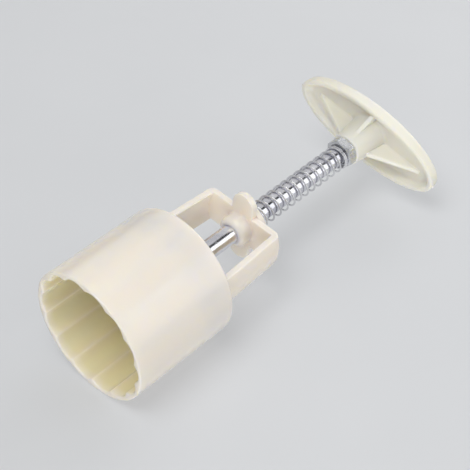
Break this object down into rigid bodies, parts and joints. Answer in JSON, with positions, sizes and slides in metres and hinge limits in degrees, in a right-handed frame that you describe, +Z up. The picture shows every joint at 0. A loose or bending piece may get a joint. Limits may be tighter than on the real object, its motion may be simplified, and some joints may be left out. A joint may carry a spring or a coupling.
{
  "type": "mooncake press",
  "caption": "Hand plunger press for moulding small filled cakes: fluted ivory plastic barrel with a bridge, oval palm handle, steel rod, open return spring and lock nut.",
  "frame": {"origin": "middle of the barrel's mouth, on the plane of its rim, which is the lowest face of the press when it stands ready to press", "axes": "+Z up along the rod towards the handle; +X across the bridge, from the middle to one of its arms; +Y completes the right-handed frame"},
  "size_m": [0.0748, 0.055, 0.1663],
  "materials": {
    "barrel_plastic": "ivory ABS, moulded, satin gloss",
    "handle_plastic": "ivory ABS, moulded, satin gloss",
    "piston_plastic": "ivory ABS, moulded, matt",
    "stamp_plastic": "ivory ABS, moulded, satin",
    "bright_steel": "bright drawn steel rod, polished",
    "spring_steel": "nickel plated spring wire",
    "nickel_plate": "nickel plated steel"
  },
  "bodies": {
    "barrel": {"barrel": "barrel_plastic", "return_spring": "spring_steel"},
    "plunger": {"plunger_rod": "bright_steel", "lock_nut": "nickel_plate", "handle": "handle_plastic", "piston_plate": "piston_plastic", "piston_washer": "nickel_plate", "piston_nut": "nickel_plate", "stamp_disc": "stamp_plastic"}
  },
  "joints": [
    {"name": "plunger_slide", "type": "slide", "parent": "barrel", "child": "plunger", "axis": [0, 0, -1], "range_m": [0, 0.036], "stiffness_N_per_m": 690, "springref_m": -0.015, "deforming": ["return_spring"]}
  ]
}
